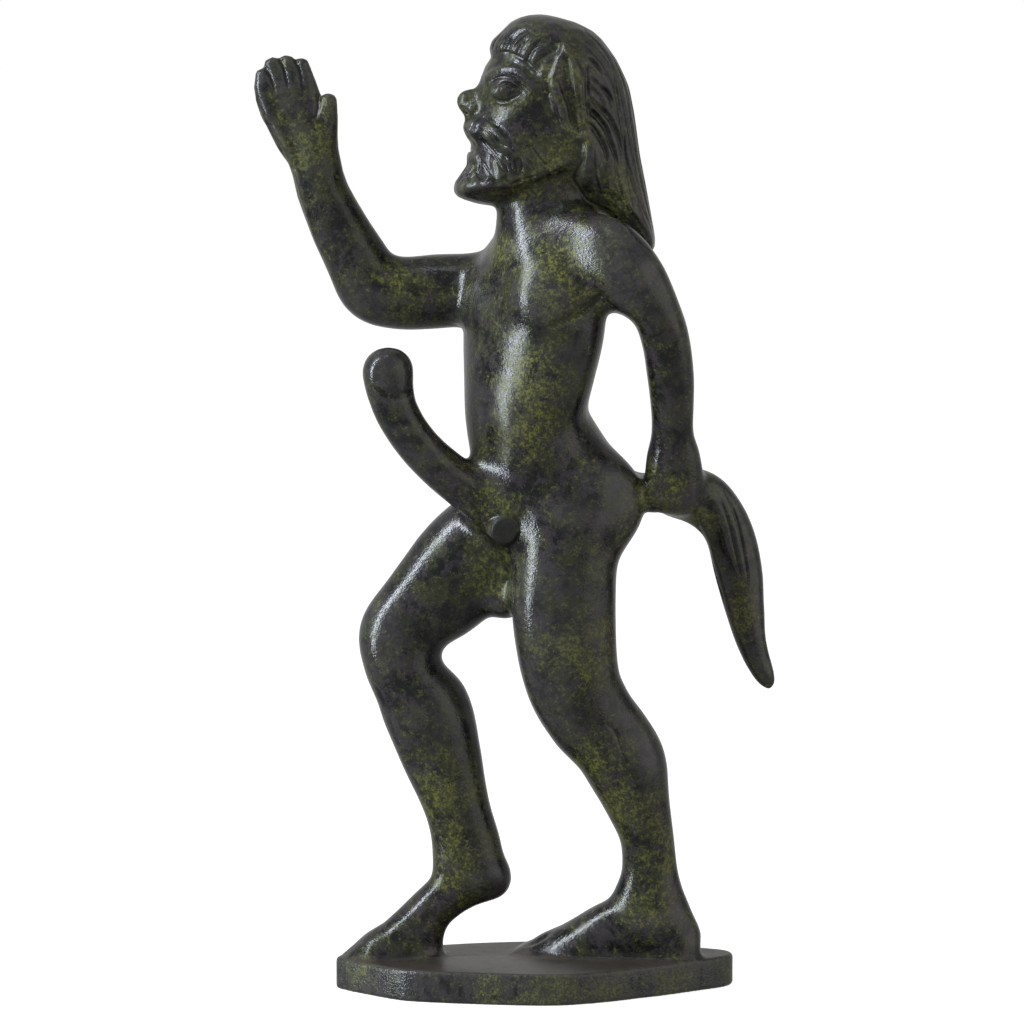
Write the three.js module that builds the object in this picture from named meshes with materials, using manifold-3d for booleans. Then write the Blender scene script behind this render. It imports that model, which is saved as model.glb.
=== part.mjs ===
import * as THREE from 'three';
import Module from 'manifold-3d';

// A bronze satyr striding on an oval plinth, figure and plinth cast in one piece.
// Millimetres, +Z up. The figure faces -X, its near side is -Y, and the origin is the
// middle of the plinth's underside.

const PLINTH = { height: 6.5, edge: 0.5, sides: 72 };
const LIFT = 0.5;         // underside of the plinth below the level that heights are taken from
const FILLET = 3.4;       // how softly the feet run into the plinth
const GRAIN = 0.5;        // spacing of the samples the skin is drawn through
const FACETS = 9600;      // facets left on the whole casting
const HEAD = { depth: 11.4, hair: 12.4, round: 11 };

// A station of the body is [x, y, z, half width in the side view, half depth, turn in degrees].
const TORSO = [
  [3.8, 0, 154, 7, 11, 36],
  [2.3, 0, 149.5, 8.6, 16, 36],
  [0.2, 0, 143, 10.8, 18, 36],
  [-0.6, 0, 135.9, 11.1, 17.9, 36],
  [-1.5, 0, 127.7, 11.1, 16.4, 33],
  [-2, 0, 119.6, 12, 14.2, 26],
  [-0.8, 0, 113.4, 13, 13, 14],
  [2.2, 0, 105.2, 14.6, 12.6, 4],
  [3.6, 0, 98, 14, 12, 0],
];
const NECK = [[3.5, 0, 168, 9, 8.6], [1.8, 0, 161, 9.6, 8.8], [1.6, 0, 155, 10, 10.5], [2, 0, 150, 11, 13]];
const FAR_ARM = [
  [-2, 10, 145, 8.4, 8],
  [-11.4, 13, 143.5, 7.7, 7.4],
  [-18.6, 14, 143.2, 7.7, 7],
  [-25.9, 14, 142.8, 7.6, 6.8],
  [-32.1, 13.8, 144.2, 7.4, 6.4],
  [-35.7, 13.5, 149.8, 6.6, 6],
  [-39.5, 13, 156.6, 6, 5.3],
  [-42.8, 12.5, 163.9, 5.3, 4.6],
  [-44.5, 12, 170.3, 5.3, 4.2],
  [-46.6, 12, 176.4, 6.6, 3.6],
  [-49.4, 12, 181.7, 6.3, 2.9],
  [-50.2, 12, 183.9, 6.2, 2.4],
];
const NEAR_ARM = [
  [8, -9, 155.4, 5.6, 5.2],
  [13.6, -13.6, 152, 7, 5.6],
  [18.2, -15.6, 146.6, 6.8, 5.8],
  [22.3, -15.4, 141.3, 5.2, 5.5],
  [24.7, -14, 135.6, 4.9, 5],
  [26.2, -12, 127.4, 4.8, 4.7],
  [26.8, -10.4, 120.6, 4.4, 4.3],
  [27, -8.6, 115.4, 4.3, 4.1],
  [27.4, -7, 110.4, 4.8, 4],
];
const NEAR_HAND = [
  [27.4, -7, 110.4, 5.1, 4],
  [28, -6.2, 105.6, 5.8, 3.8],
  [27.8, -5.8, 101.6, 4.6, 3.2],
];
const TAIL = [
  [16, 0, 105, 3.6, 5],
  [22.1, -0.8, 104.3, 2.2, 4.2],
  [27.6, -1.4, 102.9, 5, 5],
  [33.8, -1, 101.3, 5.8, 5],
  [39.3, 0, 95.3, 5.1, 4.6],
  [41.7, 0, 86.6, 5.1, 4.2],
  [43.2, 0, 78, 4.1, 3.7],
  [44.8, 0, 70.5, 3.1, 2.9],
  [47.4, 0, 64.2, 2.3, 2],
  [48.2, 0, 62.7, 1.6, 1.6],
];
const PHALLUS = [
  [-5.6, -4, 98.4, 6, 5.6],
  [-13.3, -4.5, 103.3, 5, 4.8],
  [-19.4, -5, 107.9, 4.6, 4.5],
  [-24.7, -5, 113.2, 4.4, 4.4],
  [-28.8, -5, 119.6, 4.5, 4.3],
  [-30.3, -5, 124.6, 4.9, 4.5],
];
const FAR_LEG = [
  [-0.5, 6.3, 97, 10.8, 9.4],
  [-7.8, 6.5, 92.8, 11, 9],
  [-13.6, 6.8, 87.6, 11.2, 8.6],
  [-18.7, 6.5, 82.1, 10.5, 8.2],
  [-23.4, 6.2, 77.9, 9.2, 7.8],
  [-27.2, 6, 72.7, 8.9, 7.4],
  [-27.1, 5.8, 67.3, 8, 7.1],
  [-25.3, 5.7, 62.7, 7.9, 7.1],
  [-22.1, 5.6, 57.4, 9.2, 7.3],
  [-19, 5.7, 47.6, 8.3, 6.7],
  [-15.8, 5.8, 37, 6.8, 5.9],
  [-13.5, 5.9, 28.4, 7, 5.2],
  [-11.8, 6, 24.2, 5.9, 5],
];
const FAR_FOOT = [
  [-8.6, 6.5, 21.6, 4.3, 4.2],
  [-14.1, 6.4, 20.8, 5.1, 4.6],
  [-20, 6.3, 16.7, 4.8, 4.8],
  [-24.4, 6.3, 12.2, 4.9, 5],
  [-28.7, 6.2, 9, 4.5, 5],
  [-33.4, 6, 7.2, 3.6, 4.8],
  [-35.5, 5.8, 6, 2.6, 4],
];
const NEAR_LEG = [
  [6.8, -6.2, 97, 10.6, 9],
  [5.5, -6.8, 89.4, 10.6, 8.8],
  [5, -7, 81.2, 10.7, 8.4],
  [5.5, -6.7, 73, 10.4, 8],
  [7.1, -5.8, 64.1, 9.7, 7.6],
  [10.8, -4.8, 57, 9.2, 7.3],
  [15.6, -4, 51.2, 8.7, 7.2],
  [18.3, -3.3, 46.5, 8.5, 7],
  [20.6, -2.3, 39.1, 6.8, 6.3],
  [23, -1.2, 31, 5.6, 5.3],
  [23.5, -0.6, 25, 5.7, 5],
  [24.2, -0.3, 19.6, 6.2, 5.2],
  [25.2, -0.5, 15.3, 6.8, 5.3],
];
const NEAR_FOOT = [
  [29.2, -0.6, 9.6, 5.6, 5],
  [23.2, 0.3, 12.2, 6.8, 5.3],
  [16.3, 2, 11, 6.7, 5.6],
  [9.5, 4.4, 8.5, 4.8, 5.9],
  [3.7, 6.8, 6.8, 3.6, 5.4],
  [-0.4, 8.4, 5.5, 2.3, 4.2],
];

// Rim of the plinth seen from above, an oval cut by hand.
const RIM = [
  [-41.1, 5], [-38.6, 1.6], [-33.3, -4.6], [-27.9, -10.2], [-20.2, -13], [-10.1, -15.7],
  [-3, -17.4], [3.4, -17.9], [11.1, -15.9], [18.5, -12.4], [26.2, -8.7], [33.3, -4.4],
  [39.4, -0.9], [41.5, 2.6], [40.6, 6.5], [35.2, 10], [26.2, 14.1], [15.1, 17.7], [4, 19.7],
  [-4, 19.9], [-15.1, 18.4], [-26.2, 15.1], [-35.3, 11], [-40, 8],
];

// Side view of the head: crown, fringe, brow, mouth, beard, hair falling on the shoulders.
const PROFILE = [
  [0, 199.8], [-4.3, 198.7], [-7.2, 196.2], [-9, 194.2], [-9.3, 192.7], [-9, 191.5],
  [-10.1, 189.8], [-10.9, 188], [-11.5, 186.4], [-11.6, 185], [-11.8, 183], [-12, 181],
  [-13, 179.5], [-13.4, 178.2], [-14, 177], [-14.3, 175.6], [-13.2, 173.5], [-14.2, 171.2],
  [-14, 169.8], [-15, 168.2], [-16.5, 166], [-16.8, 164.7], [-16.3, 163.3], [-13.9, 162.2],
  [-9, 161.2], [-2, 161.6], [5, 163], [10, 161.6], [14.5, 158.5], [20, 153.6], [23.9, 151.6],
  [24.2, 153.9], [23, 161.2], [22.1, 166.1], [21.1, 171], [20.4, 176], [19.7, 180.6],
  [18.6, 185.5], [16.4, 190.3], [13.7, 194.2], [11, 196.7], [6.4, 198.7],
];
// Border between hair and face, from the fringe past the temple and ear to the shoulder.
const HAIRLINE = [
  [-14, 191.5], [-9.2, 191.5], [-7.6, 192.1], [-6, 192.3], [-4.4, 191.8], [-3, 190.8],
  [-1.7, 189.2], [-0.6, 187.2], [2.5, 184], [7, 180], [8.6, 174.6], [8.4, 169.6], [7.8, 166.6],
  [9.4, 162.8], [13, 160.2], [20, 154], [26, 148],
];

const rad = Math.PI / 180;
const mix = (a, b, t) => a + (b - a) * t;
const clamp = (v, lo, hi) => Math.min(hi, Math.max(lo, v));

// A form gives the distance from a point to its surface, negative inside the metal.
function form(box, distance) {
  const { min, max } = box;
  const far = 4.5;
  return {
    box,
    at(x, y, z) {
      const dx = Math.max(min.x - x, 0, x - max.x);
      const dy = Math.max(min.y - y, 0, y - max.y);
      const dz = Math.max(min.z - z, 0, z - max.z);
      const gap = Math.sqrt(dx * dx + dy * dy + dz * dz);
      return gap > far ? gap : distance(x, y, z);
    },
  };
}

// Distance to an ellipsoid from the point's own coordinates in it.
function oval(a, b, c, ra, rb, rc) {
  const u = a / ra;
  const v = b / rb;
  const w = c / rc;
  const near = Math.sqrt(u * u + v * v + w * w);
  if (near < 1e-9) return -Math.min(ra, rb, rc);
  const slope = Math.sqrt((u / ra) ** 2 + (v / rb) ** 2 + (w / rc) ** 2);
  return (near * (near - 1)) / slope;
}

// Oval section carried along a smooth line through the stations.
function limb(stations, steps = 5) {
  const last = stations.length - 1;
  const line = new THREE.CatmullRomCurve3(stations.map(([x, y, z]) => new THREE.Vector3(x, y, z)));
  const girth = new THREE.CatmullRomCurve3(
    stations.map(([, , , wide, deep = wide, turn = 0]) => new THREE.Vector3(wide, deep, turn)),
    false, 'catmullrom', 0.5,
  );
  const rings = [];
  const box = new THREE.Box3();
  for (let i = 0; i <= last * steps; i++) {
    const t = i / (last * steps);
    const c = line.getPoint(t);
    const g = girth.getPoint(t);
    const along = line.getTangent(t);
    const level = new THREE.Vector3(-Math.sin(g.z * rad), Math.cos(g.z * rad), 0);
    const side = Math.abs(along.y) > 0.9 ? new THREE.Vector3(0, 0, 1) : level;
    const u = side.cross(along).normalize();
    const v = along.clone().cross(u);
    rings.push([c.x, c.y, c.z, g.x, g.y, u.x, u.y, u.z, v.x, v.y, v.z]);
    box.union(new THREE.Box3(c.clone(), c.clone()).expandByScalar(Math.max(g.x, g.y)));
  }
  return form(box, (x, y, z) => {
    let best = Infinity;
    for (let i = 0; i < rings.length - 1; i++) {
      const a = rings[i];
      const b = rings[i + 1];
      const ex = b[0] - a[0];
      const ey = b[1] - a[1];
      const ez = b[2] - a[2];
      const long = ex * ex + ey * ey + ez * ez;
      const t = clamp(((x - a[0]) * ex + (y - a[1]) * ey + (z - a[2]) * ez) / long, 0, 1);
      const px = x - a[0] - ex * t;
      const py = y - a[1] - ey * t;
      const pz = z - a[2] - ez * t;
      const wide = mix(a[3], b[3], t);
      const deep = mix(a[4], b[4], t);
      if (Math.sqrt(px * px + py * py + pz * pz) - Math.max(wide, deep) > best) continue;
      const pu = px * mix(a[5], b[5], t) + py * mix(a[6], b[6], t) + pz * mix(a[7], b[7], t);
      const pv = px * mix(a[8], b[8], t) + py * mix(a[9], b[9], t) + pz * mix(a[10], b[10], t);
      const pw = (px * ex + py * ey + pz * ez) / Math.sqrt(long);
      const d = oval(pu, pv, pw, wide, deep, Math.min(wide, deep));
      if (d < best) best = d;
    }
    return best;
  });
}

// Ellipsoid, tilted in the side view by an angle in degrees.
function lump([cx, cy, cz], [rx, ry, rz], tilt = 0) {
  const c = Math.cos(tilt * rad);
  const s = Math.sin(tilt * rad);
  const r = Math.max(rx, ry, rz);
  const box = new THREE.Box3(
    new THREE.Vector3(cx - r, cy - r, cz - r), new THREE.Vector3(cx + r, cy + r, cz + r));
  return form(box, (x, y, z) => {
    const dx = x - cx;
    const dz = z - cz;
    return oval(dx * c + dz * s, y - cy, dz * c - dx * s, rx, ry, rz);
  });
}

// Signed distance in the side view to a closed outline, negative inside.
function outline(points) {
  const n = points.length;
  return (x, z) => {
    let best = Infinity;
    let inside = false;
    for (let i = 0, j = n - 1; i < n; j = i++) {
      const ax = points[j][0];
      const az = points[j][1];
      const bx = points[i][0];
      const bz = points[i][1];
      const ex = bx - ax;
      const ez = bz - az;
      const t = clamp(((x - ax) * ex + (z - az) * ez) / (ex * ex + ez * ez), 0, 1);
      const d = (x - ax - ex * t) ** 2 + (z - az - ez * t) ** 2;
      if (d < best) best = d;
      if (az > z !== bz > z && x < ((bx - ax) * (z - az)) / (bz - az) + ax) inside = !inside;
    }
    return inside ? -Math.sqrt(best) : Math.sqrt(best);
  };
}

// Closed smooth line through points of the side view.
function smoothed(points, closed, parts) {
  const curve = new THREE.CatmullRomCurve3(points.map(([x, z]) => new THREE.Vector3(x, 0, z)), closed);
  const list = curve.getPoints(parts).map((p) => [p.x, p.z]);
  if (closed) list.pop();
  return list;
}

// Body with the given outline in the side view, rounded over towards both flanks.
function cushion(points, edge, depth, round) {
  const box = new THREE.Box3();
  for (const [x, z] of points) box.expandByPoint(new THREE.Vector3(x, 0, z));
  box.min.y = -depth;
  box.max.y = depth;
  return form(box, (x, y, z) => {
    const d = edge(x, z);
    return oval(Math.max(d + round, 0), y, 0, round, depth, round);
  });
}

const softMin = (a, b, k) => {
  const h = Math.max(k - Math.abs(a - b), 0) / k;
  return Math.min(a, b) - (h * h * k) / 4;
};

function join(soft, ...parts) {
  const box = new THREE.Box3();
  parts.forEach((p) => box.union(p.box));
  return form(box, (x, y, z) => {
    let d = parts[0].at(x, y, z);
    for (let i = 1; i < parts.length; i++) d = softMin(d, parts[i].at(x, y, z), soft);
    return d;
  });
}

const cut = (body, soft, ...tools) => form(body.box, (x, y, z) => {
  let d = body.at(x, y, z);
  for (const tool of tools) d = -softMin(-d, tool.at(x, y, z), soft);
  return d;
});

// Part of a body on one side of a border in the side view.
const within = (body, soft, edge) =>
  form(body.box, (x, y, z) => -softMin(-body.at(x, y, z), -edge(x, z), soft));

// Point of a body's surface seen from one flank, and the direction it faces.
function flank(body, x, z, side) {
  let y = side * 24;
  for (let i = 0; i < 80 && side * y > 0; i++) {
    const d = body.at(x, y, z);
    if (d < 0.01) break;
    y -= side * clamp(d * 0.6, 0.02, 1);
  }
  const e = 0.2;
  const n = new THREE.Vector3(
    body.at(x + e, y, z) - body.at(x - e, y, z),
    body.at(x, y + e, z) - body.at(x, y - e, z),
    body.at(x, y, z + e) - body.at(x, y, z - e),
  ).normalize();
  return { p: new THREE.Vector3(x, y, z), n };
}

// Round cord laid along a body's flank; lift is its axis's height over the surface.
function cord(body, path, side, radius, lift, count = 7) {
  const line = smoothed(path, false, count - 1);
  return limb(line.map(([x, z], i) => {
    const { p, n } = flank(body, x, z, side);
    const t = i / (count - 1);
    const r = radius * (0.45 + 0.55 * Math.sin(Math.PI * clamp(t, 0.12, 0.88)) ** 0.7);
    p.addScaledVector(n, lift * (r / radius));
    return [p.x, p.y, p.z, r];
  }), 2);
}
const both = (make) => [-1, 1].flatMap((side) => make(side));
// A path in between two others.
const between = (a, b, t) => a.map(([x, z], i) => [mix(x, b[i][0], t), mix(z, b[i][1], t)]);

function head() {
  const line = smoothed(PROFILE, true, 150);
  const edge = outline(line);
  const hairEdge = outline([
    ...smoothed(HAIRLINE, false, 60), [40, 140], [40, 215], [-30, 215], [-30, 191.5],
  ]);
  const skull = cushion(line, edge, HEAD.depth, HEAD.round);
  const nose = join(0.8,
    limb([[-9.8, 0, 184.4, 1.6, 1.5], [-12.2, 0, 183.1, 1.9, 2], [-13.9, 0, 182.4, 2.3, 2.3]]),
    limb([[-13.1, 0, 181.2, 2, 2], [-12.6, 0, 179.2, 1.9, 1.8]]),
    ...both((s) => [lump([-12.6, s * 2.3, 181], [1.9, 1.5, 1.4])]));
  const sockets = both((s) => [lump([-7.4, s * 11.6, 184.7], [4.4, 2.6, 3.2], 6)]);
  let face = cut(skull, 1.2, ...sockets);
  const eyes = both((s) => {
    const { p } = flank(face, -7.1, 184.5, s);
    return [lump([-7.1, p.y - s * 0.6, 184.5], [3, 1.5, 1.7], 8)];
  });
  const brow = [[-10.4, 187.2], [-8.2, 188.6], [-5.4, 188.8], [-3.4, 187.6], [-1.8, 185.6]];
  const lip = [[-13.8, 177.4], [-11, 176.6], [-7.4, 174.8], [-4.2, 171.8], [-1.2, 168.2]];
  const jaw = [[-14.6, 165.6], [-9.6, 165.9], [-4, 166.8], [0.6, 168.2], [5, 170.4]];
  face = join(0.9, face, nose, ...eyes,
    ...both((s) => [cord(face, brow, s, 0.95, -0.1)]),
    ...both((s) => [cord(face, lip, s, 1.9, -0.6)]),
    ...both((s) => [cord(face, jaw, s, 1.3, -0.5)]));
  const mouth = limb([[-14.6, -5, 173.2, 0.7], [-14.6, 0, 173.4, 0.9], [-14.6, 5, 173.2, 0.7]], 3);
  face = cut(face, 0.5, mouth);

  const hair = within(cushion(line, edge, HEAD.hair, HEAD.round), 0.8, (x, z) => hairEdge(x, z));
  let mass = join(0.7, face, hair);

  const leaf = [
    [8.2, 176], [6.6, 178.4], [5.6, 181.4], [5, 184.8], [4.9, 188], [4.9, 190.8], [4.5, 193.4]];
  const breadth = [1.3, 2.3, 3.1, 3.6, 3.2, 2, 0.9];
  const ears = both((s) => [limb(leaf.map(([x, z], i) => {
    const { p } = flank(mass, x, z, s);
    return [x, p.y + s * 0.2, z, breadth[i], 1.2];
  }), 3)]);
  mass = join(0.6, mass, ...ears);
  const bowls = both((s) => [limb(leaf.slice(0, 6).map(([x, z], i) => {
    const { p } = flank(mass, x, z, s);
    return [x - 0.2, p.y + s * 0.35, z, breadth[i] * 0.62, 1.5];
  }), 3)]);

  // Waves combed back and down from the temple to the shoulders.
  const upper = [[9.4, 193.6], [12.8, 190.2], [15.4, 185.4], [17, 179], [18, 171], [19.8, 161.5]];
  const lower = [[8.6, 177.8], [10.4, 176.2], [12, 173.2], [12.8, 169.6], [13.4, 166.2], [15.6, 162.4]];
  const waves = both((s) => [0, 0.25, 0.5, 0.75, 1].map(
    (t) => cord(mass, between(upper, lower, t), s, 1, 0.3, 10)));
  // Short locks of the fringe.
  const locks = both((s) => [0, 1, 2, 3].map((i) => {
    const [x, z] = [mix(-6.6, -0.8, i / 3), mix(192.4, 188.6, (i / 3) ** 2)];
    return cord(mass, [[x, z], [x + 0.5, z + 1.8], [x + 2, z + 3.6], [x + 4.2, z + 4.4]], s, 0.85, 0.25, 6);
  }));
  // Strands of the moustache and of the beard.
  const strands = both((s) => [
    ...[0, 0.5, 1].map((t) => cord(mass, between(
      [[-12.6, 177.8], [-8.6, 176.4], [-4.6, 173.6], [-1.4, 169.6]],
      [[-13, 175], [-10.2, 173.6], [-7.4, 171], [-5, 167.8]], t), s, 0.6, 0.2, 6)),
    ...[0, 1, 2, 3, 4].map((i) => cord(mass,
      [[-12 + i * 2.5, 171 + (i > 3 ? 0 : 0.6)], [-12 + i * 2.4, 168.4], [-11.6 + i * 2.4, 165.8]],
      s, 0.6, 0.2, 4)),
  ]);
  return cut(mass, 0.5, ...bowls, ...waves, ...locks, ...strands);
}

function raisedHand() {
  const palm = limb(FAR_ARM);
  const tips = [[-54.8, 187.5], [-53, 189.8], [-50.2, 190.2], [-47.3, 189.6]];
  const fingers = tips.map(([x, z], i) => limb([
    [-53.6 + i * 2.9, 12, 180, 1.7, 2.2],
    [-54.9 + i * 3.1, 12, 184.6, 1.85, 1.9],
    [x, 12, z, 1.8, 1.5],
  ]));
  const thumb = limb([
    [-43.2, 11, 173.4, 3, 2.4], [-42, 10.4, 178.4, 2.3, 2], [-41.7, 10, 182.3, 1.8, 1.7]]);
  return join(0.9, join(0.35, ...fingers), palm, thumb);
}

function nearHand() {
  const fingers = [0, 1, 2, 3].map((i) => limb([
    [23.8 + i * 2.1, -8.4, 106, 1.3, 1.6],
    [23.6 + i * 2.2, -8.4, 102, 1.3, 1.6],
    [23.6 + i * 2.2, -6.4, 100, 1.2, 1.4],
  ]));
  return join(1.2, limb(NEAR_HAND), join(0.4, ...fingers));
}

// Four grooves part the toes; turn is how far the foot points away from -X, in degrees.
function toeGrooves([x, y, z], turn, spread) {
  const back = [Math.cos(turn * rad), Math.sin(turn * rad)];
  return [-1.5, -0.5, 0.5, 1.5].map((i) => limb([[6, 3.2, 0.3], [3, 1.4, 0.6], [-1, -0.2, 0.7]].map(
    ([far, up, r]) => [x + far * back[0] - i * spread * back[1], y + far * back[1] + i * spread * back[0],
      z + up, r])));
}

function figure() {
  const torso = join(4,
    limb(TORSO),
    ...both((s) => [lump([10.6, s * 6, 101], [11, 8.2, 11.5], 0)]));
  const chest = join(3, torso, lump([3, -9.6, 143.4], [9, 6.4, 8.4], -20));
  const trunk = join(2.4, chest, limb(NECK));
  const legs = join(3, limb(FAR_LEG), limb(NEAR_LEG));
  let body = join(3, trunk, legs, lump([-6.2, 2, 80.6], [4.4, 4.5, 4.2]));
  body = join(4.4, body, limb(NEAR_ARM));
  body = join(2, body, lump([17, -11.5, 143.6], [5, 4.6, 3.6]));
  body = join(1.2, body, raisedHand());
  body = join(1.4, body, limb(TAIL));
  body = join(2.4, body, nearHand());
  const member = join(0.7,
    limb(PHALLUS),
    lump([-30.5, -5, 127.8], [5.4, 5, 5.2]),
    limb([[-27.4, -5, 124.2, 2], [-26.6, -5, 124.6, 1.4]]));
  body = join(1.6, body, member);
  body = join(0.8, body, limb([[-7.5, -5, 96.3, 2.9], [-7.5, -8.4, 96.3, 2.6]]));
  body = cut(body, 0.8, cord(body, [[11.6, 143.2], [6, 139.4], [-0.4, 133.2]], -1, 1.3, 0.7));
  body = join(1.4, body, head());
  const feet = join(3, body,
    limb(FAR_FOOT), lump([-22.6, 6.3, 9], [3.6, 4.6, 4.6]), lump([-17, 6, 25.6], [3.4, 4, 3.4]),
    limb(NEAR_FOOT), lump([20.2, 0.4, 18.8], [3.6, 3.8, 4]));
  return cut(feet, 0.5,
    ...toeGrooves([-35.6, 5.8, 7.4], 0, 1.9), ...toeGrooves([-1.2, 8.6, 7], -16, 2));
}

const rim = smoothed(RIM, true, PLINTH.sides);
const rimEdge = outline(rim);

// The plinth's own top, kept just under its real one, so that the feet flare into it.
function onGround(body) {
  const top = PLINTH.height - LIFT - 0.02;
  const box = body.box.clone();
  for (const [x, y] of rim) box.expandByPoint(new THREE.Vector3(x, y, 2));
  return form(box, (x, y, z) => {
    const slab = Math.max(z - top, rimEdge(x, y) + 1.2, 2 - z);
    return Math.max(softMin(body.at(x, y, z), slab, FILLET), 2 - z);
  });
}

// Skin of a form: every cell of the grid is split in six tetrahedra and the surface is
// drawn through each of them, which always closes.
function skin(body, step) {
  const lo = body.box.min.clone().subScalar(3 * step);
  const size = body.box.getSize(new THREE.Vector3()).addScalar(6 * step);
  const nx = Math.ceil(size.x / step) + 1;
  const ny = Math.ceil(size.y / step) + 1;
  const nz = Math.ceil(size.z / step) + 1;
  const values = new Float32Array(nx * ny * nz);
  const block = 8;
  const reach = block * step * 0.5 * Math.sqrt(3) * 1.7 + 2 * step;
  for (let k0 = 0; k0 < nz; k0 += block) {
    for (let j0 = 0; j0 < ny; j0 += block) {
      for (let i0 = 0; i0 < nx; i0 += block) {
        const half = (block - 1) / 2;
        const middle = body.at(
          lo.x + (i0 + half) * step, lo.y + (j0 + half) * step, lo.z + (k0 + half) * step);
        for (let k = k0; k < Math.min(k0 + block, nz); k++) {
          for (let j = j0; j < Math.min(j0 + block, ny); j++) {
            for (let i = i0; i < Math.min(i0 + block, nx); i++) {
              let d = middle;
              if (Math.abs(middle) < reach) d = body.at(lo.x + i * step, lo.y + j * step, lo.z + k * step);
              values[i + nx * (j + ny * k)] = Math.abs(d) < 1e-4 ? 1e-4 : d;
            }
          }
        }
      }
    }
  }
  const shift = [0, 1, 2, 3, 4, 5, 6, 7].map((c) => (c & 1) + nx * (((c >> 1) & 1) + ny * (c >> 2)));
  const tets = [[1, 3], [3, 2], [2, 6], [6, 4], [4, 5], [5, 1]].map(([a, b]) => [0, a, b, 7]);
  const points = [];
  const faces = [];
  const seen = new Map();
  const place = (base, c) => {
    const n = base + shift[c];
    return [n % nx, Math.floor(n / nx) % ny, Math.floor(n / (nx * ny))];
  };
  const crossing = (base, a, b) => {
    const [p, q] = a < b ? [a, b] : [b, a];
    const key = (base + shift[p]) * 8 + (q - p);
    if (!seen.has(key)) {
      const u = values[base + shift[p]];
      const v = values[base + shift[q]];
      const t = clamp(u / (u - v), 0.03, 0.97);
      const P = place(base, p);
      const Q = place(base, q);
      seen.set(key, points.length / 3);
      points.push(
        lo.x + step * mix(P[0], Q[0], t), lo.y + step * mix(P[1], Q[1], t), lo.z + step * mix(P[2], Q[2], t));
    }
    return seen.get(key);
  };
  const face = (a, b, c, base, inner, outer) => {
    const [ax, ay, az, bx, by, bz, cx, cy, cz] = [a, b, c].flatMap((i) => points.slice(3 * i, 3 * i + 3));
    const nxx = (by - ay) * (cz - az) - (bz - az) * (cy - ay);
    const nyy = (bz - az) * (cx - ax) - (bx - ax) * (cz - az);
    const nzz = (bx - ax) * (cy - ay) - (by - ay) * (cx - ax);
    const I = place(base, inner);
    const O = place(base, outer);
    const out = nxx * (O[0] - I[0]) + nyy * (O[1] - I[1]) + nzz * (O[2] - I[2]);
    if (out > 0) faces.push(a, b, c);
    else faces.push(a, c, b);
  };
  for (let k = 0; k < nz - 1; k++) {
    for (let j = 0; j < ny - 1; j++) {
      for (let i = 0; i < nx - 1; i++) {
        const base = i + nx * (j + ny * k);
        let inner = 0;
        for (let c = 0; c < 8; c++) if (values[base + shift[c]] < 0) inner++;
        if (inner === 0 || inner === 8) continue;
        for (const tet of tets) {
          const ins = tet.filter((c) => values[base + shift[c]] < 0);
          const out = tet.filter((c) => values[base + shift[c]] >= 0);
          if (ins.length === 1) {
            const [a, b, c] = out.map((o) => crossing(base, ins[0], o));
            face(a, b, c, base, ins[0], out[0]);
          } else if (ins.length === 3) {
            const [a, b, c] = ins.map((n) => crossing(base, n, out[0]));
            face(a, b, c, base, ins[0], out[0]);
          } else if (ins.length === 2) {
            const a = crossing(base, ins[0], out[0]);
            const b = crossing(base, ins[0], out[1]);
            const c = crossing(base, ins[1], out[1]);
            const d = crossing(base, ins[1], out[0]);
            face(a, b, c, base, ins[0], out[0]);
            face(a, c, d, base, ins[0], out[0]);
          }
        }
      }
    }
  }
  return { points, faces };
}

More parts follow.
